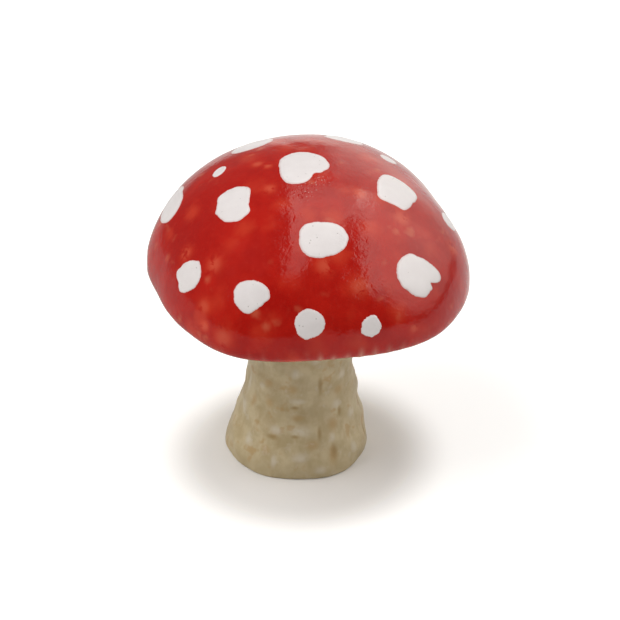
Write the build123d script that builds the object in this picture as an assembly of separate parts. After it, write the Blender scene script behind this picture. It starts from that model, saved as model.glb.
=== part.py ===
from build123d import *
import os
from math import cos, exp, hypot, pi, radians, sin

# Ceramic mushroom ornament: a red glazed cap with white enamel spots, set on a flared stem.
# Lengths are in millimetres and directions in degrees round +Z, with 0 towards +X.
# The origin is the middle of the foot on the ground, +Z is up and the front faces -Y.

# Cap, a low dome with a lip turned in below its widest ring
CAP_RADIUS = 14.0
CROWN_RISE = 9.8
LIP_DROP = 1.3
LIP_TUCK = 1.1
LIP_WALL = 1.1
RIM_HEIGHT = 16.65
CAP_X = 0.8
CAP_Y = 1.25

# The hand-shaped plan of the cap: lobes as (number round, height, direction), and smaller
# swells and hollows as (height, direction, spread), which die away towards the crown
LOBES = ((2, 0.53, -68), (3, 0.26, -30), (4, 0.31, -26))
SWELLS = (
    (0.4, 183, 10),
    (-0.4, -165, 10),
    (0.3, -117, 10),
    (-0.2, -75, 10),
    (0.2, -4, 10),
    (0.4, 38, 12),
    (-0.3, 150, 14),
)
SWELL_FADE = 2

# Rings that carry the cap's surface, in degrees from crown to widest ring, then on to the rim
DOME_STEPS = (5, 14, 24, 34, 44, 54, 63, 71, 78, 84, 90)
LIP_STEPS = (30, 60, 90)

# Gill ring, let into the underside of the cap
GILL_COUNT = 76
GILL_RECESS = 0.4
GILL_RISE = 1.4
GILL_EDGE_DEPTH = 2.4
GROOVE_WIDTH = 0.34
GROOVE_DEPTH = 0.6
GROOVE_START = 0.25

# Stem, a lumpy bulb at the foot that narrows to a waist and opens a little at the neck
FOOT_RADIUS = 6.25
FOOT_EDGE = 0.2
WAIST_RADIUS = 4.5
NECK_RADIUS = 4.8
BULB_HEIGHT = 9.2
NECK_FLARE = 4.0
NECK_X = 0.7
NECK_Y = 0.8
STEM_LUMP = 0.14
LUMP_PITCH = 7.0
LUMPS_ROUND = 5
STEM_RINGS = 14

# Tenon on the stem, its socket in the cap, and the coil of clay pressed round the joint
TENON_RADIUS = 2.5
TENON_CLEARANCE = 0.1
SOCKET_DEPTH = 3.2
SOCKET_END_GAP = 0.2
COIL_RADIUS = 0.7

# Enamel of the spots: how far it stands out of the glaze, and its flat-floored pocket
SPOT_PROUD = 0.07
SPOT_DEPTH = 0.5

# Spots as (name, direction, step down the dome, half width, half height, roll, dents).
# A dent is (direction in the spot, depth, spread), and a negative depth is a nub.
SPOTS = (
    ("crown", 180, 2, 2.5, 2.45, 0, ((38, 1.2, 28), (334, -0.5, 14), (276, 0.3, 22))),
    ("front_centre", -82, 37, 2.15, 1.7, 0, ((235, -0.12, 20), (185, 0.1, 15))),
    ("front_left_high", -148, 32, 2.1, 1.95, 0, ((55, 0.65, 24), (245, 0.25, 35))),
    ("front_left_low", -111, 63, 1.6, 1.35, 0, ((262, -0.2, 12), (306, 0.15, 15))),
    ("front_low", -89, 74, 1.35, 1.25, 0, ((255, -0.1, 15), (198, 0.15, 14))),
    ("front_right_low", -67, 78, 0.92, 0.92, 0, ((60, -0.1, 12), (170, 0.08, 15))),
    ("front_right", -45, 62, 1.85, 1.8, 0, ((345, -0.65, 14), (302, 0.2, 12), (100, -0.15, 25))),
    ("left_low", -141, 67, 1.5, 1.45, 0, ((195, -0.15, 15), (255, -0.15, 15), (45, -0.12, 20))),
    ("left_high", 173, 54, 2.4, 1.6, 0, ((120, 0.3, 25),)),
    ("left_high_small", 165, 34, 0.85, 0.6, -10, ()),
    ("back_left_high", 127, 37, 2.1, 1.7, 0, ((300, 0.3, 25),)),
    ("back_right_high", 66, 35, 1.9, 1.5, 10, ((200, 0.25, 20),)),
    ("right_high_small", 36, 43, 0.8, 0.9, 0, ()),
    ("right_high", -14, 34, 1.85, 1.9, 0, ((58, -0.35, 25), (215, -0.2, 25), (265, 0.2, 20))),
    ("right_low", 3, 67, 1.1, 0.9, 0, ()),
    ("left_rim", 150, 80, 1.0, 0.9, 0, ((70, 0.15, 20),)),
    ("back_left_low", 128, 70, 1.7, 1.5, 15, ((30, 0.3, 20),)),
    ("back_centre", 97, 57, 2.0, 1.6, -10, ((150, 0.35, 22),)),
    ("back_low", 108, 80, 1.1, 1.0, 0, ((310, 0.15, 20),)),
    ("back_right_low", 80, 78, 1.4, 1.2, 0, ((90, -0.15, 15),)),
    ("back_right", 55, 70, 1.8, 1.6, 10, ((225, 0.35, 22),)),
    ("right_back_low", 27, 78, 1.2, 1.1, 0, ((20, 0.15, 20),)),
)

# How closed curves are drawn: smoothly joined arcs, the steps along each, and the small
# turn that gives a curve's direction where two arcs join
RING_ARCS = 4
RING_STEPS = 9
SPOT_ARCS = 2
SPOT_STEPS = 12
SMALL_TURN = 0.01

# Heights and radii that follow from the sizes above
RING_HEIGHT = RIM_HEIGHT + LIP_DROP
CAVITY_RADIUS = CAP_RADIUS - LIP_TUCK - LIP_WALL
GILL_EDGE_HEIGHT = RIM_HEIGHT + GILL_RECESS
SEAT_HEIGHT = GILL_EDGE_HEIGHT + GILL_EDGE_DEPTH
BORE_RADIUS = TENON_RADIUS + TENON_CLEARANCE
TALLEST_LOBE = sum(height for count, height, direction in LOBES)
TALLEST_SWELL = sum(abs(height) for height, direction, spread in SWELLS)
CAP_SHIFT = hypot(CAP_X - NECK_X, CAP_Y - NECK_Y)
OUTER_REACH = CAP_RADIUS + TALLEST_LOBE + TALLEST_SWELL + CAP_SHIFT


def bump(direction, towards, spread):
    """A smooth rise from 0 to 1 and back, centred on one direction."""
    turn = (direction - towards + 180) % 360 - 180
    return exp(-0.5 * (turn / spread) ** 2)


def plan_reach(direction, radius):
    """Distance from the cap's axis to a ring of this mean radius, in one direction."""
    reach = CAP_RADIUS
    for count, height, towards in LOBES:
        reach += height * cos(count * radians(direction - towards))
    for height, towards, spread in SWELLS:
        reach += height * bump(direction, towards, spread) * (radius / CAP_RADIUS) ** SWELL_FADE
    return reach * radius / CAP_RADIUS


def tangent(place, direction):
    """Which way a closed curve runs in one direction from its middle."""
    return Vector(*place(direction + SMALL_TURN)) - Vector(*place(direction - SMALL_TURN))


def ring_face(place, arcs, steps):
    """The flat face inside a closed curve, drawn as arcs that join smoothly."""
    edges = []
    for arc in range(arcs):
        turns = [360 * (arc + step / steps) / arcs for step in range(steps + 1)]
        ends = [tangent(place, turns[0]), tangent(place, turns[-1])]
        edges.append(Spline(*[place(turn) for turn in turns], tangents=ends))
    return make_face(edges)


def cap_face(radius, height):
    """A level slice of the cap with the lobed plan."""

    def place(direction):
        reach = plan_reach(direction, radius)
        return CAP_X + reach * cos(radians(direction)), CAP_Y + reach * sin(radians(direction)), height

    return ring_face(place, RING_ARCS, RING_STEPS)


def offset_ring(radius, height, slope_out, slope_up, grow):
    """Move one ring along the surface's normal, given up to its length."""
    length = hypot(slope_out, slope_up)
    return radius + grow * slope_out / length, height + grow * slope_up / length


def cap_skin(grow):
    """The cap's outer form, grown or shrunk along its normals."""
    rings = []
    for step in reversed(LIP_STEPS):
        out, down = cos(radians(step)), sin(radians(step))
        radius = CAP_RADIUS - LIP_TUCK * (1 - out)
        height = RING_HEIGHT - LIP_DROP * down
        rings.append(offset_ring(radius, height, out / LIP_TUCK, -down / LIP_DROP, grow))
    for step in reversed(DOME_STEPS):
        out, rise = sin(radians(step)), cos(radians(step))
        radius = CAP_RADIUS * out
        height = RING_HEIGHT + CROWN_RISE * rise
        rings.append(offset_ring(radius, height, out / CAP_RADIUS, rise / CROWN_RISE, grow))
    return loft([cap_face(radius, height) for radius, height in rings])


def spot_plane(direction, step):
    """The plane that touches the dome at a spot, with X round the cap and Y up the dome."""
    out, rise = sin(radians(step)), cos(radians(step))
    east, north = cos(radians(direction)), sin(radians(direction))
    reach = plan_reach(direction, CAP_RADIUS * out)
    middle = (CAP_X + reach * east, CAP_Y + reach * north, RING_HEIGHT + CROWN_RISE * rise)
    normal = (east * out / CAP_RADIUS, north * out / CAP_RADIUS, rise / CROWN_RISE)
    return Plane(origin=middle, x_dir=(-north, east, 0), z_dir=normal)


def spot_face(half_width, half_height, roll, dents):
    """The uneven shape of one spot: an ellipse with a few dents and nubs."""

    def place(direction):
        across, up = cos(radians(direction - roll)), sin(radians(direction - roll))
        reach = 1 / hypot(across / half_width, up / half_height)
        for towards, depth, spread in dents:
            reach -= depth * bump(direction, towards, spread)
        return reach * cos(radians(direction)), reach * sin(radians(direction))

    return ring_face(place, SPOT_ARCS, SPOT_STEPS)


def make_spots():
    """Every spot as a tile of enamel with a flat back and a face that follows the dome."""
    raised = cap_skin(SPOT_PROUD)
    spots = {}
    for name, direction, step, half_width, half_height, roll, dents in SPOTS:
        floor = spot_plane(direction, step).offset(-SPOT_DEPTH)
        outline = floor * spot_face(half_width, half_height, roll, dents)
        spots["spot_" + name] = raised & extrude(outline, amount=CROWN_RISE)
    return spots


def make_cavity():
    """The recess under the cap, up to the gill ring's seat."""
    floor = cap_face(CAVITY_RADIUS, RIM_HEIGHT - LIP_DROP)
    return extrude(floor, amount=SEAT_HEIGHT - RIM_HEIGHT + LIP_DROP, dir=(0, 0, 1))


def make_socket():
    """The blind hole for the tenon, from the gill ring's seat up into the cap."""
    hole = Cylinder(BORE_RADIUS, SOCKET_DEPTH, align=(Align.CENTER, Align.CENTER, Align.MIN))
    return Pos(NECK_X, NECK_Y, SEAT_HEIGHT) * hole


def gill_height(distance):
    """Height of the gills' underside at a distance from the neck's axis."""
    return GILL_EDGE_HEIGHT + GILL_RISE * (1 - distance / CAVITY_RADIUS)


def above_gills(inner, top):
    """All the space over the cone of the gills, up to a level, as one turned solid."""
    profile = Polyline(
        (inner, 0, gill_height(inner)),
        (OUTER_REACH, 0, gill_height(OUTER_REACH)),
        (OUTER_REACH, 0, top),
        (inner, 0, top),
        close=True,
    )
    return Pos(NECK_X, NECK_Y, 0) * revolve(make_face(profile), Axis.Z)


def make_groove(direction):
    """One V-shaped groove between two gills, running out along the cone."""
    start = NECK_RADIUS + COIL_RADIUS + GROOVE_START
    slope = (OUTER_REACH, 0, gill_height(OUTER_REACH) - gill_height(0))
    section = Plane(origin=(start, 0, gill_height(start)), x_dir=(0, 1, 0), z_dir=slope)
    wedge = Polyline(
        (-GROOVE_WIDTH, -GROOVE_DEPTH),
        (GROOVE_WIDTH, -GROOVE_DEPTH),
        (0, GROOVE_DEPTH),
        close=True,
    )
    groove = extrude(section * make_face(wedge), amount=OUTER_REACH)
    return Pos(NECK_X, NECK_Y, 0) * Rot(0, 0, direction) * groove


def make_gill_ring(cavity):
    """The ring of gills that fills the recess round the tenon."""
    ring = above_gills(BORE_RADIUS, SEAT_HEIGHT) & cavity
    return ring - [make_groove(360 * index / GILL_COUNT) for index in range(GILL_COUNT)]


def stem_radius(height, top):
    """Mean radius of the stem: bulb, waist and neck."""
    bulb = 0.5 + 0.5 * cos(pi * min(height / BULB_HEIGHT, 1))
    flare = 0.5 - 0.5 * cos(pi * max((height - top + NECK_FLARE) / NECK_FLARE, 0))
    return WAIST_RADIUS + (FOOT_RADIUS - WAIST_RADIUS) * bulb + (NECK_RADIUS - WAIST_RADIUS) * flare


def stem_face(height, top, inset):
    """A level slice of the stem with the lumps left by the hand."""

    def place(direction):
        turn = radians(direction)
        lump = cos(LUMPS_ROUND * turn + height) * cos(2 * pi * height / LUMP_PITCH + turn)
        reach = stem_radius(height, top) + STEM_LUMP * lump - inset
        return lean * NECK_X + reach * cos(turn), lean * NECK_Y + reach * sin(turn), height

    lean = height / top
    return ring_face(place, RING_ARCS, RING_STEPS)


def make_column():
    """The stem's body, run on past the gills so that the cone can trim its top."""
    top = gill_height(0) + COIL_RADIUS
    slices = [stem_face(0, top, FOOT_EDGE), stem_face(FOOT_EDGE, top, 0)]
    for index in range(1, STEM_RINGS + 1):
        slices.append(stem_face(FOOT_EDGE + (top - FOOT_EDGE) * index / STEM_RINGS, top, 0))
    return loft(slices)


def make_stem(column):
    """The column under the gills with its tenon."""
    length = SEAT_HEIGHT + SOCKET_DEPTH - SOCKET_END_GAP - RIM_HEIGHT
    tenon = Cylinder(TENON_RADIUS, length, align=(Align.CENTER, Align.CENTER, Align.MIN))
    return (column - above_gills(0, SEAT_HEIGHT)) + Pos(NECK_X, NECK_Y, RIM_HEIGHT) * tenon


def make_coil(column):
    """The coil of clay pressed into the corner between neck and gills."""
    coil = Pos(NECK_X, NECK_Y, gill_height(NECK_RADIUS)) * Torus(NECK_RADIUS, COIL_RADIUS)
    return coil - above_gills(0, SEAT_HEIGHT) - column


cavity = make_cavity()
column = make_column()
parts = make_spots()
parts["cap_body"] = cap_skin(0) - [cavity, make_socket(), *parts.values()]
parts["gill_ring"] = make_gill_ring(cavity)
parts["stem"] = make_stem(column)
parts["joint_coil"] = make_coil(column)

os.makedirs("parts", exist_ok=True)
for name, shape in parts.items():
    export_step(shape, f"parts/{name}.step")
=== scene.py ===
import random
from math import atan2, cos, degrees, exp, hypot, pi, radians, sin, tau

import bmesh
import bpy
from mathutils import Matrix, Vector, noise
from mathutils.bvhtree import BVHTree


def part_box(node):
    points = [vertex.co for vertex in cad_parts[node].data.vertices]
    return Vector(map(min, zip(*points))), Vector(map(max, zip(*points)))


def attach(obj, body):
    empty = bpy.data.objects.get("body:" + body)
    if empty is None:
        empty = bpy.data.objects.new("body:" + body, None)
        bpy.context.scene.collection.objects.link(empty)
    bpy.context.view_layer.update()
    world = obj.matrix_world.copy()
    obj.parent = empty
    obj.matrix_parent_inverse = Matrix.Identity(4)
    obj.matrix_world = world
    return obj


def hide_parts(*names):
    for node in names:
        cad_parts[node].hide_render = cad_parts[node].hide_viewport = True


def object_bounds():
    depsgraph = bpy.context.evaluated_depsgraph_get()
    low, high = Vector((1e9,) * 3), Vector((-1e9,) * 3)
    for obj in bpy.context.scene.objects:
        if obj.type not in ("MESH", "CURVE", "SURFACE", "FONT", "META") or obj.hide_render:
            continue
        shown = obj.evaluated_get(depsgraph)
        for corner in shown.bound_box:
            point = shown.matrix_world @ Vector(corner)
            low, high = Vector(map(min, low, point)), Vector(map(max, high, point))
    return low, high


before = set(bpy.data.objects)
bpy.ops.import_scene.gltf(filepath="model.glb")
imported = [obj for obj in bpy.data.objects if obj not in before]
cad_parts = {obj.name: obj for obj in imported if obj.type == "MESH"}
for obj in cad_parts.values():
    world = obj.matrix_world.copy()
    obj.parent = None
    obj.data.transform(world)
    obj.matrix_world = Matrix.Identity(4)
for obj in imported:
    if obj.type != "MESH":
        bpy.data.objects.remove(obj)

# Glazed toadstool ornament: the fired clay, its glazes and a soft white studio round it.
# Metres, +Z up, the front faces -Y, directions in degrees round +Z with 0 towards +X.

cad_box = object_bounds()
MM = 0.001
UP = Vector((0, 0, 1))

# The cap's dome and lip, as the solids have them
CAP_RADIUS = 14.0 * MM
CROWN_RISE = 9.8 * MM
LIP_DROP = 1.3 * MM
LIP_TUCK = 1.1 * MM
LIP_WALL = 1.1 * MM
LIP_EDGE = 0.3 * MM
RIM_HEIGHT = 16.65 * MM
RING_HEIGHT = RIM_HEIGHT + LIP_DROP
CAVITY_RADIUS = CAP_RADIUS - LIP_TUCK - LIP_WALL
CAP_AXIS = Vector((0.8 * MM, 1.25 * MM, 0))

# The cap's plan: lobes as (count, mm, direction) and swells as (mm, direction, spread).
# The swells fade towards the crown, those of the rim faster.
LOBES = ((2, 0.53, -68), (3, 0.26, -30), (4, 0.31, -26))
SWELLS = (
    (0.4, 183, 10),
    (-0.4, -165, 10),
    (0.3, -117, 10),
    (-0.2, -75, 10),
    (0.2, -4, 10),
    (0.4, 38, 12),
    (-0.3, 150, 14),
)
SWELL_FADE = 2
RIM_SWELLS = (
    (0.12, 180, 12),
    (0.36, -162, 12),
    (0.24, -134, 16),
    (0.2, -112, 9),
    (0.24, -62, 10),
    (0.4, -46, 9),
    (0.12, -25, 14),
)
RIM_FADE = 7

# Gills under the cap, the bore they leave and the coil round the neck
GILL_COUNT = 76
GILL_RINGS = 22
GILL_EDGE_HEIGHT = RIM_HEIGHT + 0.4 * MM
GILL_RISE = 1.4 * MM
GILL_WAVE = 0.05 * MM
GROOVE_DEPTH = 0.55 * MM
GROOVE_RUN_IN = 0.8 * MM
SEAT_HEIGHT = GILL_EDGE_HEIGHT + 2.4 * MM
BORE_RADIUS = 2.6 * MM
NECK_AXIS = Vector((0.7 * MM, 0.8 * MM, 0))
NECK_RADIUS = 4.8 * MM
COIL_RADIUS = 0.7 * MM
COIL_PRESS = 0.08 * MM
PRESS_COUNT = 26

# The stem's bulb, waist and neck
FOOT_RADIUS = 6.25 * MM
FOOT_EDGE = 0.2 * MM
WAIST_RADIUS = 4.5 * MM
BULB_HEIGHT = 9.2 * MM
NECK_FLARE = 4.0 * MM
STEM_LUMP = 0.14 * MM
LUMP_PITCH = 7.0 * MM
LUMPS_ROUND = 5
TENON_RADIUS = 2.5 * MM
TENON_TOP = 22.45 * MM
STEM_TOP = GILL_EDGE_HEIGHT + GILL_RISE + COIL_RADIUS
MARK_RELIEF = 0.05 * MM

# Hand-made unevenness of the cap, and the gill ends that show along its rim
CAP_UNEVEN = 0.06 * MM
CAP_FINE_UNEVEN = 0.02 * MM
TICK_DROP = 0.07 * MM
TICK_FRONT = -79
TICK_SPREAD = 11
TICK_FAINT = 0.15

# Enamel of the spots: how proud it stands, and the depths and turns at which
# a spot's solid is felt for its outline
SPOT_PROUD = 0.06 * MM
SPOT_SKIRT = 0.25 * MM
SPOT_SHRINK = 0.03 * MM
SPOT_PLANES = (0.36 * MM, 0.42 * MM, 0.47 * MM)
SPOT_SMOOTHING = (-10, -7, -3, 0, 3, 7, 10)

# Points round each turned form
CAP_STEPS = GILL_COUNT * 6
GILL_STEPS = GILL_COUNT * 8
COIL_STEPS = 240
STEM_STEPS = 360
STEM_ROWS = 180
SPOT_STEPS = 144

# Colours of the red glaze
RED_DEEP = (0.41, 0.006, 0.003)
RED_BRIGHT = (0.49, 0.011, 0.005)
RED_POOL = (0.36, 0.003, 0.002)
RED_STROKE = (0.60, 0.05, 0.03)
FLECK_ORANGE = (0.64, 0.055, 0.022)
FLECK_HEART = (0.62, 0.14, 0.08)
CRUMB_ORANGE = (0.60, 0.12, 0.06)
# Pale bubble colour, with painted glints
BUBBLE_GLINT_PINK = (0.72, 0.5, 0.45)
TICK_TAN = (0.66, 0.33, 0.24)
WORN_TAN = (0.58, 0.36, 0.2)
# Colours of the white enamel
WHITE_DULL = (0.765, 0.705, 0.69)
WHITE_CLEAR = (0.87, 0.82, 0.80)
PINHOLE_BROWN = (0.25, 0.2, 0.18)
EDGE_ROSE = (0.62, 0.3, 0.27)
# Colours of the stem's glaze
BEIGE_DEEP = (0.49, 0.385, 0.21)
BEIGE_LIGHT = (0.60, 0.495, 0.30)
STREAK_BROWN = (0.44, 0.31, 0.15)
BLUSH_TAN = (0.49, 0.31, 0.13)
CREAM = (0.66, 0.58, 0.44)
PAD_CREAM = (0.70, 0.63, 0.50)
NICK_BROWN = (0.36, 0.23, 0.08)
# Painted shade towards the foot, standing in for the contact shadow
FOOT_PAINTED_SHADE = (0.40, 0.31, 0.17)
# Colours of the bare clay
CLAY_DEEP = (0.52, 0.43, 0.30)
CLAY_LIGHT = (0.64, 0.56, 0.43)
GROOVE_BROWN = (0.27, 0.17, 0.08)

# Studio: paper on the floor, how far round the ornament its glow is held back as painted shade,
# and the light
PAPER_WHITE = (0.9, 0.885, 0.855)
PAPER_SHADE = (0.5, 0.49, 0.47)
FLOOR_HALF = 0.25
PAINTED_SHADE_MIDDLE = (0.3 * MM, -2.2 * MM, 0)
PAINTED_SHADE_FULL = 8 * MM
PAINTED_SHADE_END = 14 * MM
FLOOR_GLOW = 0.45
SOFT_LIGHT = 0.27
GLOSS_TINT = (1, 0.96, 0.88)
# Soft boxes as (name, direction, lift, watts)
LAMPS = (
    ("overhead_box", 78, 64, 0.55),
    ("left_box", 189, 53, 2.35),
    ("right_box", 0, 45, 1.3),
)
LAMP_SIZE = 0.45
LAMP_DISTANCE = 0.6
LAMP_AIM = Vector((0, 0, 0.02))

# The photograph's view
PHOTO_WIDTH = 620
PIXELS_PER_METRE = 11455
VIEW_DISTANCE = 230 * MM
VIEW_LIFT = 33.63
VIEW_AIM = Vector((1.07, -0.29, 14.04)) * MM


# Shape helpers


def hill(value, middle, spread):
    """A smooth rise from 0 to 1 and back, centred on one value."""
    return exp(-0.5 * ((value - middle) / spread) ** 2)


def bump(direction, towards, spread):
    """A smooth rise from 0 to 1 and back, centred on one direction."""
    return hill((direction - towards + 180) % 360 - 180, 0, spread)


def smooth_step(value, low, high):
    """0 at low, 1 at high and a smooth slope between, level beyond both."""
    share = min(max((value - low) / (high - low), 0), 1)
    return share * share * (3 - 2 * share)


def grain(place, size, seed=0):
    """Smooth noise from -1 to 1 whose features are about size across."""
    return noise.noise(place / size + Vector((seed * 17.3, seed * 5.7, seed * 9.1)))


def spun(points, steps):
    """A closed turned form from (radius, height) points round the axis."""
    form = bmesh.new()
    verts = [form.verts.new((radius, 0, height)) for radius, height in points]
    edges = [form.edges.new(pair) for pair in zip(verts, verts[1:])]
    bmesh.ops.spin(
        form, geom=verts + edges, axis=(0, 0, 1), angle=tau, steps=steps, use_merge=True
    )
    bmesh.ops.remove_doubles(form, verts=form.verts, dist=0.0001 * MM)
    bmesh.ops.recalc_face_normals(form, faces=form.faces)
    return form


def finished(name, form, material, node):
    """Turn a shaped form into a smooth piece that stands for one solid."""
    for vert in form.verts:
        for axis in range(3):
            vert.co[axis] = min(max(vert.co[axis], cad_box[0][axis]), cad_box[1][axis])
    mesh = bpy.data.meshes.new(name)
    form.to_mesh(mesh)
    form.free()
    mesh.shade_smooth()
    mesh.materials.append(material)
    piece = bpy.data.objects.new(name, mesh)
    bpy.context.scene.collection.objects.link(piece)
    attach(piece, "root")
    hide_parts(node)
    return piece


def ray_tree(mesh):
    """A tree for casting rays at one mesh."""
    places = [vert.co for vert in mesh.vertices]
    return BVHTree.FromPolygons(places, [face.vertices for face in mesh.polygons])


# Shader helpers


def add(tree, kind, inputs=None, **settings):
    """Add one shader node, with its settings and its linked or plain inputs."""
    made = tree.nodes.new(kind)
    for name, value in settings.items():
        setattr(made, name, value)
    for name, value in (inputs or {}).items():
        if isinstance(value, bpy.types.NodeSocket):
            tree.links.new(value, made.inputs[name])
        else:
            made.inputs[name].default_value = value
    return made


def start_material(name):
    """An empty material with its surface shader and object coordinates."""
    material = bpy.data.materials.new(name)
    material.use_nodes = True
    tree = material.node_tree
    tree.nodes.clear()
    shader = add(tree, "ShaderNodeBsdfPrincipled")
    output = add(tree, "ShaderNodeOutputMaterial")
    tree.links.new(shader.outputs["BSDF"], output.inputs["Surface"])
    place = add(tree, "ShaderNodeTexCoord").outputs["Object"]
    return material, tree, shader, place


def stretched(tree, place, scale):
    """Coordinates squeezed along the axes, for streaks."""
    return add(tree, "ShaderNodeMapping", {"Vector": place, "Scale": scale}).outputs["Vector"]


def vector_math(tree, operation, inputs):
    """One step of vector arithmetic."""
    return add(tree, "ShaderNodeVectorMath", inputs, operation=operation).outputs


def warped(tree, place, size, amount):
    """Coordinates pushed about by noise, so that round patterns turn irregular."""
    inputs = {"Vector": place, "Scale": 1 / size, "Detail": 2.0}
    push = add(tree, "ShaderNodeTexNoise", inputs).outputs["Color"]
    off = vector_math(tree, "SUBTRACT", {0: push, 1: (0.5, 0.5, 0.5)})["Vector"]
    scaled = vector_math(tree, "SCALE", {0: off, "Scale": amount})["Vector"]
    return vector_math(tree, "ADD", {0: scaled, 1: place})["Vector"]


def mottle(tree, place, size, detail=3.0):
    """Cloudy noise with features of about one size."""
    inputs = {"Vector": place, "Scale": 1 / size, "Detail": detail, "Roughness": 0.55}
    return add(tree, "ShaderNodeTexNoise", inputs).outputs["Fac"]


def cells(tree, place, size):
    """Distance to scattered points about one size apart."""
    inputs = {"Vector": place, "Scale": 1 / size}
    return add(tree, "ShaderNodeTexVoronoi", inputs).outputs["Distance"]


def between(tree, value, low, high):
    """Map a value smoothly to 0 at low and 1 at high."""
    inputs = {"Value": value, "From Min": low, "From Max": high}
    made = add(tree, "ShaderNodeMapRange", inputs, interpolation_type="SMOOTHSTEP")
    return made.outputs["Result"]


def times(tree, one, other):
    """The product of two values."""
    return add(tree, "ShaderNodeMath", {0: one, 1: other}, operation="MULTIPLY").outputs["Value"]


def plus(tree, one, other):
    """The sum of two values."""
    return add(tree, "ShaderNodeMath", {0: one, 1: other}, operation="ADD").outputs["Value"]


def blend(tree, share, under, over):
    """Lay one colour over another by a share."""
    mix = add(tree, "ShaderNodeMix", {"Factor": share}, data_type="RGBA")
    for name, colour in (("A", under), ("B", over)):
        socket = next(s for s in mix.inputs if s.name == name and s.type == "RGBA")
        if isinstance(colour, bpy.types.NodeSocket):
            tree.links.new(colour, socket)
        else:
            socket.default_value = (*colour, 1)
    return next(s for s in mix.outputs if s.type == "RGBA")


def tinted(tree, colour, field, share, tint):
    """Lay a tint over a colour where a field is strong, at most by a share."""
    return blend(tree, times(tree, field, share), colour, tint)


def raised(tree, height, distance):
    """A normal from a height field."""
    inputs = {"Height": height, "Distance": distance, "Strength": 1.0}
    return add(tree, "ShaderNodeBump", inputs).outputs["Normal"]


def painted(tree, name):
    """A value stored on the piece's own points."""
    return add(tree, "ShaderNodeAttribute", attribute_name=name).outputs["Fac"]


# Finishes


def red_glaze():
    """Mottled red glaze with dark pools, orange flecks, froth with painted glints and pale gill
    ends at the rim.
    """
    material, tree, shader, place = start_material("red_glaze")
    bent = warped(tree, place, 1.1 * MM, 1.2 * MM)
    tracks = stretched(tree, place, (1, 1, 0.25))
    froth = painted(tree, "froth")

    clouds = between(tree, mottle(tree, place, 3.0 * MM), 0.35, 0.65)
    colour = blend(tree, clouds, RED_DEEP, RED_BRIGHT)
    pools = between(tree, mottle(tree, bent, 6 * MM, detail=2), 0.52, 0.66)
    colour = tinted(tree, colour, pools, 0.5, RED_POOL)
    patches = between(tree, mottle(tree, place, 5 * MM, detail=1), 0.38, 0.58)
    strewn = times(tree, between(tree, cells(tree, bent, 2.7 * MM), 0.55, 0.05), patches)
    ragged = between(tree, mottle(tree, bent, 0.8 * MM), 0.3, 0.5)
    placed = times(tree, painted(tree, "fleck"), ragged)
    flecks = plus(tree, times(tree, strewn, 0.55), times(tree, placed, 0.8))
    colour = blend(tree, flecks, colour, FLECK_ORANGE)
    hearts = between(tree, placed, 0.25, 1.0)
    colour = tinted(tree, colour, hearts, 0.25, FLECK_HEART)
    sparse = between(tree, mottle(tree, place, 3.2 * MM, detail=1), 0.52, 0.64)
    crumbs = times(tree, between(tree, cells(tree, bent, 1.6 * MM), 0.4, 0.05), sparse)
    colour = tinted(tree, colour, crumbs, 0.6, CRUMB_ORANGE)
    strokes = between(tree, mottle(tree, tracks, 0.35 * MM, detail=4), 0.5, 0.8)
    colour = tinted(tree, colour, strokes, 0.15, RED_STROKE)
    # Painted highlight: pale dots on the froth, partly the pale colour of each bubble and partly
    # painted glints.
    bubbles_and_glints = times(tree, between(tree, cells(tree, place, 0.3 * MM), 0.32, 0.15), froth)
    colour = tinted(tree, colour, bubbles_and_glints, 0.5, BUBBLE_GLINT_PINK)
    colour = tinted(tree, colour, painted(tree, "tick"), 0.8, TICK_TAN)
    patchy = between(tree, mottle(tree, place, 1.5 * MM), 0.35, 0.6)
    worn = times(tree, painted(tree, "thin"), patchy)
    colour = tinted(tree, colour, worn, 0.7, WORN_TAN)
    tree.links.new(colour, shader.inputs["Base Color"])

    gloss = mottle(tree, bent, 1.4 * MM, detail=4)
    limits = {"From Min": 0.3, "From Max": 0.7, "To Min": 0.04, "To Max": 0.12}
    dull = add(tree, "ShaderNodeMapRange", {"Value": gloss, **limits}).outputs["Result"]
    tree.links.new(dull, shader.inputs["Roughness"])
    shader.inputs["IOR"].default_value = 1.4

    waves = times(tree, mottle(tree, place, 1.6 * MM, detail=2), 0.75)
    ripples = times(tree, mottle(tree, bent, 0.55 * MM, detail=2), 0.3)
    peel = times(tree, mottle(tree, place, 0.2 * MM, detail=3), 0.16)
    brush = times(tree, mottle(tree, tracks, 0.25 * MM, detail=3), 0.06)
    beads = times(tree, between(tree, cells(tree, place, 0.22 * MM), 0.55, 0.1), froth)
    skin = plus(tree, plus(tree, waves, ripples), plus(tree, peel, brush))
    skin = plus(tree, skin, times(tree, beads, 0.6))
    tree.links.new(raised(tree, skin, 0.06 * MM), shader.inputs["Normal"])
    return material


def white_enamel():
    """Glossy white enamel, faintly clouded, with pinholes and a thin warm edge."""
    material, tree, shader, place = start_material("white_enamel")
    clouds = mottle(tree, place, 1.2 * MM, detail=4)
    colour = blend(tree, clouds, WHITE_DULL, WHITE_CLEAR)
    rare = between(tree, mottle(tree, place, 1.1 * MM, detail=0), 0.49, 0.58)
    holes = times(tree, between(tree, cells(tree, place, 0.5 * MM), 0.16, 0.06), rare)
    colour = tinted(tree, colour, holes, 0.5, PINHOLE_BROWN)
    edge = between(tree, painted(tree, "edge"), 0.9, 1.0)
    colour = tinted(tree, colour, edge, 0.45, EDGE_ROSE)
    tree.links.new(colour, shader.inputs["Base Color"])
    shader.inputs["Roughness"].default_value = 0.28
    fine = times(tree, mottle(tree, place, 0.2 * MM), 0.25)
    skin = plus(tree, mottle(tree, place, 0.8 * MM), fine)
    skin = plus(tree, skin, times(tree, holes, -0.5))
    tree.links.new(raised(tree, skin, 0.03 * MM), shader.inputs["Normal"])
    return material


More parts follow.
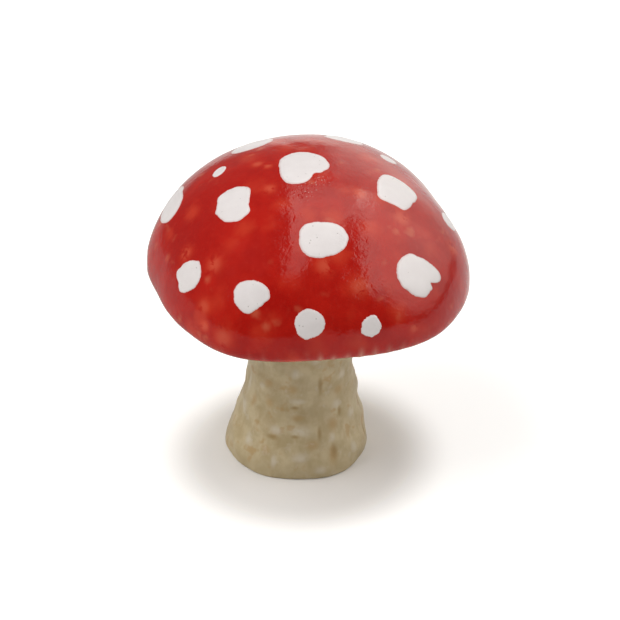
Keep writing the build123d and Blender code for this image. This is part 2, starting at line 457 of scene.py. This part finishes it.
def stem_glaze():
    """Satin beige glaze with brown wash in the nicks, tan blushes, pale raised pads and painted
    shade darker towards the foot.
    """
    material, tree, shader, place = start_material("stem_glaze")
    tall = stretched(tree, place, (1, 1, 0.4))

    clouds = between(tree, mottle(tree, place, 1.4 * MM, detail=3), 0.32, 0.68)
    colour = blend(tree, clouds, BEIGE_DEEP, BEIGE_LIGHT)
    streaks = between(tree, mottle(tree, tall, 0.8 * MM, detail=2), 0.54, 0.72)
    colour = tinted(tree, colour, streaks, 0.3, STREAK_BROWN)
    strewn = between(tree, mottle(tree, place, 1.3 * MM, detail=2), 0.58, 0.7)
    blushes = plus(tree, painted(tree, "tan"), strewn)
    colour = tinted(tree, colour, blushes, 0.65, BLUSH_TAN)
    pale = between(tree, mottle(tree, place, 0.9 * MM, detail=2), 0.58, 0.72)
    colour = tinted(tree, colour, pale, 0.3, CREAM)
    patchy = between(tree, mottle(tree, place, 0.5 * MM), 0.15, 0.5)
    pads = times(tree, painted(tree, "pad"), patchy)
    colour = tinted(tree, colour, pads, 0.65, PAD_CREAM)
    colour = tinted(tree, colour, painted(tree, "nick"), 0.75, NICK_BROWN)
    # Painted shade: the colour darkens towards the foot, where the contact shadow falls.
    height = add(tree, "ShaderNodeSeparateXYZ", {"Vector": place}).outputs["Z"]
    foot = between(tree, height, 2.2 * MM, 0.2 * MM)
    colour = tinted(tree, colour, foot, 0.4, FOOT_PAINTED_SHADE)
    tree.links.new(colour, shader.inputs["Base Color"])
    shader.inputs["Roughness"].default_value = 0.36

    drawn = times(tree, mottle(tree, tall, 0.3 * MM), 0.4)
    skin = plus(tree, mottle(tree, place, 0.6 * MM), drawn)
    tree.links.new(raised(tree, skin, 0.04 * MM), shader.inputs["Normal"])
    return material


def gill_clay():
    """Pale clay with brown wash left in the grooves between the gills."""
    material, tree, shader, place = start_material("gill_clay")
    clouds = mottle(tree, place, 1.5 * MM, detail=4)
    colour = blend(tree, clouds, CLAY_DEEP, CLAY_LIGHT)
    colour = tinted(tree, colour, painted(tree, "nick"), 0.8, GROOVE_BROWN)
    tree.links.new(colour, shader.inputs["Base Color"])
    shader.inputs["Roughness"].default_value = 0.6
    skin = mottle(tree, place, 0.3 * MM, detail=4)
    tree.links.new(raised(tree, skin, 0.04 * MM), shader.inputs["Normal"])
    return material


# Cap


# Orange flecks in the red glaze, as (direction, tilt from upright, radius in mm)
CAP_FLECKS = (
    (166, 13, 0.5),
    (173, 10, 0.4),
    (-136, 13, 0.6),
    (-128, 68, 0.7),
    (-126, 80, 0.5),
    (-118, 82, 0.9),
    (-149, 51, 0.7),
    (-131, 46, 0.8),
    (-82, 39, 0.8),
    (-69, 50, 0.9),
    (-32, 30, 0.8),
    (-19, 56, 0.7),
    (-37, 16, 0.7),
    (-53, 81, 0.4),
)
# Tiny bubble froth in the glaze beside the crown patch, where glints are painted, in the same
# way
CAP_FROTH = ((-94, 11, 0.7), (-82, 8.5, 0.7), (-60, 7, 0.6))


def plan_reach(direction, radius):
    """Distance from the cap's axis to a ring of this mean radius, in one direction."""
    reach = CAP_RADIUS
    for count, height, towards in LOBES:
        reach += height * MM * cos(count * radians(direction - towards))
    for swells, fade in ((SWELLS, SWELL_FADE), (RIM_SWELLS, RIM_FADE)):
        for height, towards, spread in swells:
            swell = bump(direction, towards, spread) * (radius / CAP_RADIUS) ** fade
            reach += height * MM * swell
    return reach * radius / CAP_RADIUS


def plan_point(direction, radius, height):
    """A place on that ring at one height, from the cap's axis."""
    reach = plan_reach(direction, radius)
    turn = radians(direction)
    return Vector((reach * cos(turn), reach * sin(turn), height))


def dome_point(direction, tilt):
    """A place on the dome where it leans this far from upright, from the cap's axis."""
    lean, rise = sin(radians(tilt)), cos(radians(tilt))
    size = hypot(CAP_RADIUS * lean, CROWN_RISE * rise)
    height = RING_HEIGHT + CROWN_RISE**2 * rise / size
    return plan_point(direction, CAP_RADIUS**2 * lean / size, height)


def dome_normal(place):
    """The dome's outward direction at a place, from the cap's axis."""
    rise = (place.z - RING_HEIGHT) * (CAP_RADIUS / CROWN_RISE) ** 2
    return Vector((place.x, place.y, rise)).normalized()


def cap_profile():
    """Half section of the cap: crown, widest ring, lip, recess and its ceiling."""
    points = [(0, RING_HEIGHT + CROWN_RISE)]
    for step in range(1, 91):
        turn = radians(step)
        points.append((CAP_RADIUS * sin(turn), RING_HEIGHT + CROWN_RISE * cos(turn)))
    for step in range(9, 91, 9):
        turn = radians(step)
        radius = CAP_RADIUS - LIP_TUCK * (1 - cos(turn))
        points.append((radius, RING_HEIGHT - LIP_DROP * sin(turn)))
    for step in range(0, 91, 30):
        turn = radians(step)
        radius = CAVITY_RADIUS + LIP_EDGE * (1 - sin(turn))
        points.append((radius, RIM_HEIGHT + LIP_EDGE * (1 - cos(turn))))
    return points + [(CAVITY_RADIUS, SEAT_HEIGHT), (0, SEAT_HEIGHT)]


def blots(places):
    """Middle and radius of each of some soft round blots on the dome."""
    return [(dome_point(direction, tilt), radius * MM) for direction, tilt, radius in places]


def blotch(found, place):
    """The strongest of the blots at one place, from 0 to 1."""
    return max(exp(-(((place - middle).length / radius) ** 2)) for middle, radius in found)


def tick_strength(direction, place):
    """How strongly the end of a gill shows at the rim, in one direction."""
    wave = (0.5 + 0.5 * cos(GILL_COUNT * radians(direction))) ** 3
    uneven = smooth_step(grain(place, 2.5 * MM, 3), -0.5, 0.2)
    front = bump(direction, TICK_FRONT, TICK_SPREAD)
    return wave * uneven * (TICK_FAINT + (1 - TICK_FAINT) * front)


def make_cap(glaze):
    """The glazed dome, its hand-made unevenness and the gill ends along its rim."""
    form = spun(cap_profile(), CAP_STEPS)
    names = ("tick", "thin", "fleck", "froth")
    tick, thin, fleck, froth = (form.verts.layers.float.new(name) for name in names)
    flecks = blots(CAP_FLECKS)
    bubbles_and_glints = blots(CAP_FROTH)
    for vert in form.verts:
        radius = hypot(vert.co.x, vert.co.y)
        height = vert.co.z
        direction = degrees(atan2(vert.co.y, vert.co.x))
        place = plan_point(direction, radius, height)
        inside = radius < CAP_RADIUS - LIP_TUCK and height < RING_HEIGHT + 2 * MM
        if not inside:
            out = dome_normal(Vector((place.x, place.y, max(height, RING_HEIGHT))))
            uneven = CAP_UNEVEN * grain(place, 4.5 * MM, 1)
            uneven += CAP_FINE_UNEVEN * grain(place, 1.5 * MM, 2)
            place += out * uneven
        low = smooth_step(height, RING_HEIGHT + 0.5 * MM, RING_HEIGHT - 0.8 * MM)
        strength = tick_strength(direction, place) * low
        place.z -= TICK_DROP * strength
        vert[tick] = 0 if inside else strength
        vert[thin] = smooth_step(height, RIM_HEIGHT + 0.55 * MM, RIM_HEIGHT + 0.2 * MM)
        vert[fleck] = blotch(flecks, place)
        vert[froth] = blotch(bubbles_and_glints, place)
        vert.co = place + CAP_AXIS
    return finished("cap", form, glaze, "cap_body")


# Spots


# Shift of a patch along and up the dome, in mm
SPOT_NUDGES = {
    "crown": (0.15, 0.19),
    "front_centre": (0.17, -0.1),
    "front_right_low": (-0.14, -0.15),
    "right_high": (0.5, 0.0),
    "front_low": (0.0, -0.08),
    "front_right": (-0.2, -0.02),
    "right_low": (-1.3, 0.85),
    "left_low": (0.0, -0.08),
    "left_high": (0.1, -0.8),
    "left_high_small": (0.15, 0.0),
    "back_left_high": (0.0, 0.6),
    "right_high_small": (0.0, 0.4),
}
# Corners and bays along a patch's edge, as (direction, push in mm, spread); a spread
# of 400 takes the whole edge
SPOT_CORNERS = {
    "crown": (
        (0, 0.42, 13),
        (-48, -0.05, 8),
        (-103, -0.06, 16),
        (-170, 0.25, 24),
        (112, -0.13, 14),
        (53, 0.17, 8),
        (32, 0.13, 14),
    ),
    "front_centre": (
        (86, -0.1, 25),
        (106, 0.08, 9),
        (132, 0.13, 10),
        (150, 0.06, 14),
        (170, -0.12, 7),
        (-150, 0.1, 14),
        (-130, 0.1, 9),
        (-106, 0.08, 12),
    ),
    "front_left_high": (
        (135, 0.17, 15),
        (105, 0.17, 9),
        (30, -0.17, 9),
        (10, 0.08, 7),
        (-20, 0.2, 9),
        (-48, 0.1, 12),
        (-105, 0.12, 8),
        (-145, -0.08, 12),
        (-168, 0.15, 9),
        (170, 0.12, 15),
    ),
    "front_left_low": (
        (115, -0.05, 18),
        (28, 0.08, 13),
        (6, 0.06, 6),
        (-12, -0.2, 9),
        (-32, -0.15, 9),
        (-75, 0.1, 10),
        (-172, -0.11, 11),
    ),
    "front_low": (
        (106, 0.09, 18),
        (88, 0.05, 9),
        (-103, 0.06, 9),
        (-145, 0.09, 20),
        (0, -0.04, 400),
    ),
    "front_right_low": (
        (88, 0.09, 22),
        (69, 0.06, 9),
        (-101, 0.05, 9),
        (-160, 0.09, 12),
        (0, -0.04, 400),
    ),
    "front_right": (
        (70, 0.15, 14),
        (57, -0.09, 7),
        (22, 0.1, 10),
        (175, -0.12, 20),
        (-31, 0.46, 11),
        (-51, -0.4, 6),
        (-64, 0.25, 8),
        (-95, 0.15, 14),
        (-147, -0.15, 18),
        (-158, -0.08, 8),
    ),
    "right_high": (
        (165, 0.38, 28),
        (150, 0.42, 12),
        (125, 0.1, 9),
        (72, -0.09, 12),
        (35, 0.25, 13),
        (12, 0.24, 15),
        (-10, 0.15, 25),
        (-78, -0.1, 12),
        (-113, -0.31, 14),
        (-155, 0.25, 9),
        (0, 0.06, 400),
    ),
    "left_low": (
        (132, -0.1, 14),
        (77, 0.18, 12),
        (15, 0.07, 20),
        (-48, -0.08, 14),
        (-90, 0.05, 9),
        (-133, -0.19, 11),
        (-170, 0.1, 9),
        (170, -0.1, 6),
        (0, -0.03, 400),
    ),
    "left_high": ((180, 0.3, 30),),
    "right_low": ((143, 0.3, 40),),
}
# Ragged edge of every patch, as (push and size in mm, seed)
SPOT_RAGGED = ((0.04, 0.4, 5), (0.03, 0.17, 6))


def spot_profile():
    """Half section of a unit disc of enamel with a rounded edge and a skirt below the glaze."""
    shares = (0, 0.2, 0.4, 0.58, 0.72, 0.83, 0.9, 0.945, 0.975, 0.992, 1)
    return [(share, 1 - share**14) for share in shares] + [(1, -1), (0, -1)]


def wall_reach(walls, surface, across, up, turn):
    """How far a patch's solid reaches one way, with the joins in its outline smoothed over."""
    normal = across.cross(up)
    total = 0
    for step in SPOT_SMOOTHING:
        way = across * cos(turn + radians(step)) + up * sin(turn + radians(step))
        hits = [walls.ray_cast(surface - normal * depth, way)[3] for depth in SPOT_PLANES]
        total += max(hit for hit in hits if hit is not None)
    return total / len(SPOT_SMOOTHING)


def make_spot(node, cap_tree, enamel):
    """One patch of enamel with the outline of its solid, laid on the dome."""
    low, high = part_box(node)
    middle = (low + high) / 2
    normal = dome_normal(middle - CAP_AXIS)
    surface = cap_tree.ray_cast(middle + normal * 5 * MM, -normal)[0]
    across = UP.cross(normal).normalized()
    up = normal.cross(across)
    name = node.removeprefix("spot_")
    along, rise = SPOT_NUDGES.get(name, (0, 0))
    centre = surface + (across * along + up * rise) * MM
    walls = ray_tree(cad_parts[node].data)
    reaches = {}
    form = spun(spot_profile(), SPOT_STEPS)
    edge = form.verts.layers.float.new("edge")
    for vert in form.verts:
        share = hypot(vert.co.x, vert.co.y)
        level = vert.co.z
        turn = atan2(vert.co.y, vert.co.x)
        way = across * cos(turn) + up * sin(turn)
        spoke = round(turn, 3)
        if spoke not in reaches:
            reaches[spoke] = wall_reach(walls, surface, across, up, turn)
        reach = reaches[spoke] - SPOT_SHRINK
        for towards, push, spread in SPOT_CORNERS.get(name, ()):
            reach += push * MM * bump(degrees(turn), towards, spread)
        for push, size, seed in SPOT_RAGGED:
            reach += push * MM * grain(surface + way * 2 * MM, size * MM, seed)
        flat = centre + way * reach * share
        landed = cap_tree.ray_cast(flat + normal * 3 * MM, -normal)[0]
        lift = SPOT_PROUD * level if level > 0 else SPOT_SKIRT * level
        vert[edge] = share
        vert.co = landed + normal * lift
    return finished("enamel_" + node, form, enamel, node)


# Gills and the coil at the neck


def gill_height(distance):
    """Height of the gills' underside at a distance from the neck's axis."""
    return GILL_EDGE_HEIGHT + GILL_RISE * (1 - distance / CAVITY_RADIUS)


def make_gills(clay):
    """The ring of thin gills, their wavy edges and the grooves between them."""
    walls = ray_tree(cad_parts["gill_ring"].data)
    feel_height = SEAT_HEIGHT - 0.5 * MM
    feel_radius = BORE_RADIUS + 0.1 * MM
    start = NECK_RADIUS + COIL_RADIUS + 0.25 * MM
    # A plain ring from 1 to 2, which is then laid between the bore and the solid's edge
    under = [(2 - step / GILL_RINGS, 0) for step in range(GILL_RINGS + 1)]
    form = spun([(1, 1), (2, 1), *under, (1, 1)], GILL_STEPS)
    nick = form.verts.layers.float.new("nick")
    for vert in form.verts:
        share = hypot(vert.co.x, vert.co.y) - 1
        turn = atan2(vert.co.y, vert.co.x)
        way = Vector((cos(turn), sin(turn), 0))
        begin = NECK_AXIS + way * feel_radius + UP * feel_height
        outer = feel_radius + walls.ray_cast(begin, way)[3]
        distance = BORE_RADIUS + (outer - BORE_RADIUS) * share
        height = SEAT_HEIGHT
        groove = 0
        if vert.co.z < 0.5:
            sway = 0.35 * grain(way * 9 * MM + UP * distance, 3 * MM, 7)
            ridge = (0.5 + 0.5 * cos(GILL_COUNT * turn + sway)) ** 1.5
            groove = (1 - ridge) * smooth_step(distance, start, start + GROOVE_RUN_IN)
            height = gill_height(distance) + GROOVE_DEPTH * groove
            height -= GILL_WAVE * grain(way * distance, 1.2 * MM, 8) * (1 - groove)
        vert[nick] = groove
        vert.co = NECK_AXIS + way * distance + UP * height
    return finished("gills", form, clay, "gill_ring")


def make_coil(clay):
    """The coil of clay pressed into the corner at the neck, with finger marks."""
    points = []
    for step in range(0, 360, 20):
        turn = radians(step)
        points.append((NECK_RADIUS + COIL_RADIUS * cos(turn), COIL_RADIUS * sin(turn)))
    form = spun(points + points[:1], COIL_STEPS)
    nick = form.verts.layers.float.new("nick")
    for vert in form.verts:
        turn = atan2(vert.co.y, vert.co.x)
        way = Vector((cos(turn), sin(turn), 0))
        off = Vector((hypot(vert.co.x, vert.co.y) - NECK_RADIUS, vert.co.z))
        press = COIL_PRESS * cos(PRESS_COUNT * turn + 2 * sin(3 * turn))
        press *= smooth_step(-off.y, -0.2 * MM, 0.5 * MM)
        off *= 1 + 0.06 * grain(way * NECK_RADIUS, 1.5 * MM, 9) - press / COIL_RADIUS
        vert[nick] = 0.3 * smooth_step(press, 0, COIL_PRESS)
        height = gill_height(NECK_RADIUS) + off.y
        vert.co = NECK_AXIS + way * (NECK_RADIUS + off.x) + UP * height
    return finished("neck_coil", form, clay, "joint_coil")


# Stem


# Marks on the stem's front as (direction, height, half width, half height), in degrees and mm
FRONT_PADS = (
    (-89, 4.55, 0.85, 0.4),
    (-113, 4.35, 0.55, 0.35),
    (-89, 2.2, 0.7, 0.4),
    (-93, 7.15, 0.6, 0.25),
    (-97, 9.8, 0.35, 0.4),
    (-137, 7.8, 0.3, 0.25),
    (-40, 8.85, 0.4, 0.5),
    (-59, 3.5, 0.27, 0.35),
    (-151, 10.1, 0.3, 0.8),
    (-163, 7.0, 0.25, 0.9),
    (-160, 4.8, 0.5, 0.7),
    (-31, 4.7, 0.45, 0.5),
    (-50, 6.3, 0.4, 0.35),
    (-111, 1.6, 0.25, 0.6),
    (-72, 0.9, 0.5, 0.35),
    (-140, 2.6, 0.4, 0.5),
    (-38, 1.8, 0.35, 0.5),
    (-75, 11.2, 0.4, 0.5),
)
FRONT_NICKS = (
    (-68, 8.4, 0.22, 0.85),
    (-71.5, 4.15, 0.2, 0.65),
    (-96, 6.55, 0.35, 0.15),
    (-116, 3.7, 0.55, 0.2),
    (-94, 4.0, 0.35, 0.16),
    (-47, 5.5, 0.2, 0.5),
    (-59, 2.3, 0.3, 0.7),
)
FRONT_TANS = (
    (-124, 6.6, 0.4, 0.4),
    (-129, 8.25, 0.4, 0.35),
    (-120, 2.45, 0.45, 0.4),
    (-78, 3.2, 0.6, 0.5),
    (-56, 4.6, 0.5, 0.6),
    (-92, 5.7, 0.5, 0.25),
    (-60, 1.9, 0.45, 0.8),
    (-44, 7.4, 0.5, 0.4),
    (-100, 8.3, 0.5, 0.4),
    (-148, 5.9, 0.35, 0.5),
)
# How far a mark reaches, in half widths and half heights
MARK_REACH = 2.2
# Where the marks of the back may lie, in degrees and mm
BACK_DIRECTIONS = (-18, 190)
BACK_HEIGHTS = (0.4, 16.5)
# Folds across the stem's left side, as (upper height, lower height, depth) in mm
STEM_FOLDS = ((8.9, 8.2, 0.22), (5.9, 5.3, 0.16))
# Fuller places of the foot, as (mm, direction, spread)
FOOT_SWELLS = ((0.38, -44, 22), (0.2, -138, 20))


def stem_radius(height):
    """Mean radius of the stem: bulb, waist and neck."""
    bulb = 0.5 + 0.5 * cos(pi * min(height / BULB_HEIGHT, 1))
    flare = 0.5 - 0.5 * cos(pi * max((height - STEM_TOP + NECK_FLARE) / NECK_FLARE, 0))
    radius = WAIST_RADIUS + (FOOT_RADIUS - WAIST_RADIUS) * bulb
    return radius + (NECK_RADIUS - WAIST_RADIUS) * flare


def stem_profile():
    """Half section of the stem: flat foot, rounded edge, side, shoulder and tenon."""
    points = [(0, 0), (FOOT_RADIUS / 2, 0)]
    for step in range(0, 91, 18):
        turn = radians(step)
        radius = FOOT_RADIUS - FOOT_EDGE * (1 - sin(turn))
        points.append((radius, FOOT_EDGE * (1 - cos(turn))))
    shoulder = gill_height(NECK_RADIUS)
    for row in range(1, STEM_ROWS + 1):
        height = FOOT_EDGE + (shoulder - FOOT_EDGE) * row / STEM_ROWS
        points.append((stem_radius(height), height))
    tenon = [gill_height(TENON_RADIUS), TENON_TOP]
    return points + [(TENON_RADIUS, height) for height in tenon] + [(0, TENON_TOP)]


def scattered(seed, count, widths, heights):
    """Marks strewn over the stem's back, in the same way as those of the front."""
    dice = random.Random(seed)
    marks = []
    for _ in range(count):
        place = (dice.uniform(*BACK_DIRECTIONS), dice.uniform(*BACK_HEIGHTS))
        marks.append((*place, dice.uniform(*widths), dice.uniform(*heights)))
    return marks


def mark_rows(marks, heights):
    """The marks that reach each row of the stem."""
    rows = {}
    for height in heights:
        rows[height] = [m for m in marks if abs(height / MM - m[1]) < MARK_REACH * m[3]]
    return rows


def mark_field(marks, direction, height):
    """The strongest of the marks at one place, from 0 to 1."""
    most = 0
    mm_per_degree = stem_radius(height) / MM * pi / 180
    for towards, level, wide, tall in marks:
        side = ((direction - towards + 180) % 360 - 180) * mm_per_degree / wide
        if abs(side) < MARK_REACH:
            rise = (height / MM - level) / tall
            most = max(most, exp(-((side * side + rise * rise) ** 1.4)))
    return most


def stem_relief(place, direction):
    """Hand-worked unevenness of the stem's side: grain, folds and hollows, a fuller foot."""
    height = place.z / MM
    relief = 0.06 * grain(place, 1.8 * MM, 4) + 0.02 * grain(place, 0.7 * MM, 6)
    for upper, lower, depth in STEM_FOLDS:
        fold = smooth_step(height, upper, lower) - 0.5
        relief += depth * fold * bump(direction, 190, 32)
    left_hollow = bump(direction, 190, 35) * hill(height, 3.9, 1.5)
    right_hollow = bump(direction, -6, 28) * smooth_step(height, 6.2, 4.2)
    relief -= 0.4 * left_hollow + 0.24 * right_hollow
    low = smooth_step(height, 3.5, 0.5)
    for swell, towards, spread in FOOT_SWELLS:
        relief += low * swell * bump(direction, towards, spread)
    return relief * MM


def make_stem(glaze):
    """The lumpy stem with raised pads, nicks and tan blushes."""
    form = spun(stem_profile(), STEM_STEPS)
    side_top = gill_height(NECK_RADIUS) - 0.01 * MM
    heights = {vert.co.z for vert in form.verts}
    marks = {
        "pad": [*FRONT_PADS, *scattered(11, 46, (0.25, 1.0), (0.25, 0.6))],
        "nick": [*FRONT_NICKS, *scattered(23, 26, (0.13, 0.2), (0.4, 0.8))],
        "tan": [*FRONT_TANS, *scattered(37, 40, (0.35, 0.6), (0.3, 0.6))],
    }
    rows = {name: mark_rows(found, heights) for name, found in marks.items()}
    layers = {name: form.verts.layers.float.new(name) for name in marks}
    for vert in form.verts:
        radius = hypot(vert.co.x, vert.co.y)
        height = vert.co.z
        if radius < TENON_RADIUS * 1.01 and height > side_top:
            vert.co += NECK_AXIS
            continue
        turn = atan2(vert.co.y, vert.co.x)
        direction = degrees(turn)
        way = Vector((cos(turn), sin(turn), 0))
        lean = NECK_AXIS * (height / STEM_TOP)
        lump = cos(LUMPS_ROUND * turn + height / MM) * cos(tau * height / LUMP_PITCH + turn)
        relief = STEM_LUMP * lump + stem_relief(way * radius + UP * height, direction)
        if 0 < height < side_top:
            for name, layer in layers.items():
                vert[layer] = mark_field(rows[name][height], direction, height)
            relief += MARK_RELIEF * (vert[layers["pad"]] - vert[layers["nick"]])
        share = min(radius / FOOT_RADIUS, 1) if height == 0 else 1
        vert.co = lean + way * (radius + relief * share) + UP * height
    return finished("stem_body", form, glaze, "stem")


# Studio


def make_floor():
    """A white sweep that keeps the ornament's shadow, with painted shade round the foot where
    its glow is held back, and goes to plain white away from it.
    """
    form = bmesh.new()
    bmesh.ops.create_grid(form, x_segments=8, y_segments=8, size=FLOOR_HALF)
    mesh = bpy.data.meshes.new("floor")
    form.to_mesh(mesh)
    form.free()
    material = bpy.data.materials.new("white_paper")
    material.use_nodes = True
    tree = material.node_tree
    tree.nodes.clear()
    path = add(tree, "ShaderNodeLightPath")
    place = add(tree, "ShaderNodeTexCoord").outputs["Object"]
    # Painted shade: seen in reflections only, the paper darkens towards the left.
    leftwards = vector_math(tree, "DOT_PRODUCT", {0: place, 1: (-1, -0.3, 0)})["Value"]
    left = between(tree, leftwards, -30 * MM, 20 * MM)
    shaded = times(tree, left, path.outputs["Is Glossy Ray"])
    colour = blend(tree, shaded, PAPER_WHITE, PAPER_SHADE)
    paper = add(tree, "ShaderNodeBsdfDiffuse", {"Color": colour})
    # Painted shade: the glow seen by the camera is held back round the foot, darkening the floor
    # there, and lifts it to plain white further out.
    away = vector_math(tree, "DISTANCE", {0: place, 1: PAINTED_SHADE_MIDDLE})["Value"]
    clear = times(tree, between(tree, away, PAINTED_SHADE_FULL, PAINTED_SHADE_END), FLOOR_GLOW)
    lift = add(tree, "ShaderNodeEmission", {"Color": (1, 1, 1, 1), "Strength": clear})
    none = add(tree, "ShaderNodeEmission", {"Color": (0, 0, 0, 1)})
    seen = path.outputs["Is Camera Ray"]
    glow = add(tree, "ShaderNodeMixShader", {0: seen, 1: none.outputs[0], 2: lift.outputs[0]})
    whole = add(tree, "ShaderNodeAddShader", {0: paper.outputs[0], 1: glow.outputs[0]})
    output = add(tree, "ShaderNodeOutputMaterial")
    tree.links.new(whole.outputs[0], output.inputs["Surface"])
    mesh.materials.append(material)
    floor = bpy.data.objects.new("floor", mesh)
    bpy.context.scene.collection.objects.link(floor)


def overhead_strip(tree, right, back):
    """A long strip of light overhead, brighter to the rear and along both its rims."""
    slant = plus(tree, right, times(tree, back, -0.3))
    wide = times(tree, between(tree, right, -0.13, -0.08), between(tree, slant, 0.19, 0.15))
    deep = times(tree, between(tree, back, -0.6, -0.3), between(tree, back, 0.75, 0.55))
    rear = between(tree, back, -0.3, 0.15)
    rims = plus(tree, between(tree, right, 0.0, -0.07), between(tree, slant, 0.08, 0.14))
    level = plus(tree, times(tree, rear, 0.8), times(tree, rims, 0.9))
    return times(tree, times(tree, wide, deep), plus(tree, level, 1.1))


def side_panel(tree, right, back, height):
    """A wide panel on the right, brighter at the top and along its near edge."""
    slant = plus(tree, right, times(tree, back, 0.12))
    wide = times(tree, between(tree, slant, 0.345, 0.375), between(tree, height, -0.05, 0.1))
    deep = times(tree, between(tree, back, -0.75, -0.5), between(tree, back, 0.8, 0.5))
    top = between(tree, height, 0.0, 0.6)
    near = between(tree, slant, 0.48, 0.38)
    level = plus(tree, times(tree, top, 1.2), times(tree, near, 0.8))
    return times(tree, times(tree, wide, deep), plus(tree, level, 1.0))


def back_wall(tree, right, back, height):
    """A bright wall low behind the ornament, which goes up on the right."""
    low = times(tree, between(tree, height, 0.16, 0.0), between(tree, right, -0.25, 0.0))
    low = times(tree, low, between(tree, back, 0.8, 0.97))
    far = times(tree, between(tree, right, 0.0, 0.18), between(tree, back, 0.55, 0.8))
    return add(tree, "ShaderNodeMath", {0: low, 1: far}, operation="MAXIMUM").outputs["Value"]


def make_world():
    """White to the camera, even soft light, and in the gloss a dim room with bright panels."""
    world = bpy.data.worlds.new("studio")
    bpy.context.scene.world = world
    world.use_nodes = True
    tree = world.node_tree
    tree.nodes.clear()
    way = add(tree, "ShaderNodeTexCoord").outputs["Generated"]
    axes = add(tree, "ShaderNodeSeparateXYZ", {"Vector": way}).outputs
    right, back, height = axes["X"], axes["Y"], axes["Z"]
    dim = plus(tree, times(tree, between(tree, back, -0.9, 0.1), 0.13), 0.08)
    panels = plus(tree, overhead_strip(tree, right, back), side_panel(tree, right, back, height))
    room = plus(tree, panels, plus(tree, dim, back_wall(tree, right, back, height)))
    path = add(tree, "ShaderNodeLightPath")
    glossy = path.outputs["Is Glossy Ray"]
    light = add(tree, "ShaderNodeMix", {"Factor": glossy, "A": SOFT_LIGHT, "B": room})
    tint = blend(tree, glossy, (1, 1, 1), GLOSS_TINT)
    lit = add(tree, "ShaderNodeBackground", {"Color": tint, "Strength": light.outputs["Result"]})
    white = add(tree, "ShaderNodeBackground", {"Color": (1, 1, 1, 1), "Strength": 1.0})
    seen = path.outputs["Is Camera Ray"]
    mix = add(tree, "ShaderNodeMixShader", {0: seen, 1: lit.outputs[0], 2: white.outputs[0]})
    output = add(tree, "ShaderNodeOutputWorld")
    tree.links.new(mix.outputs[0], output.inputs["Surface"])


def make_lamp(name, towards, lift, power):
    """A soft box aimed at the ornament; in the gloss the room's panels stand for it."""
    data = bpy.data.lights.new(name, "AREA")
    data.size = LAMP_SIZE
    data.energy = power
    lamp = bpy.data.objects.new(name, data)
    flat = cos(radians(lift))
    turn = radians(towards)
    way = Vector((flat * cos(turn), flat * sin(turn), sin(radians(lift))))
    lamp.location = way * LAMP_DISTANCE + LAMP_AIM
    lamp.rotation_euler = way.to_track_quat("Z", "Y").to_euler()
    lamp.visible_glossy = False
    bpy.context.scene.collection.objects.link(lamp)


def make_camera():
    """The photograph's view: from the front, a third of the way up, with a long lens."""
    data = bpy.data.cameras.new("camera")
    data.lens = data.sensor_width * PIXELS_PER_METRE * VIEW_DISTANCE / PHOTO_WIDTH
    data.clip_start = 0.01
    camera = bpy.data.objects.new("camera", data)
    back = Vector((0, -cos(radians(VIEW_LIFT)), sin(radians(VIEW_LIFT))))
    camera.location = VIEW_AIM + back * VIEW_DISTANCE
    camera.rotation_euler = (-back).to_track_quat("-Z", "Y").to_euler()
    bpy.context.scene.collection.objects.link(camera)
    bpy.context.scene.camera = camera


cap = make_cap(red_glaze())
cap_tree = ray_tree(cap.data)
enamel = white_enamel()
for node in sorted(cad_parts):
    if node.startswith("spot_"):
        make_spot(node, cap_tree, enamel)
clay = gill_clay()
make_gills(clay)
make_coil(clay)
make_stem(stem_glaze())

make_floor()
make_world()
for lamp in LAMPS:
    make_lamp(*lamp)
make_camera()
bpy.context.scene.view_settings.view_transform = "Standard"
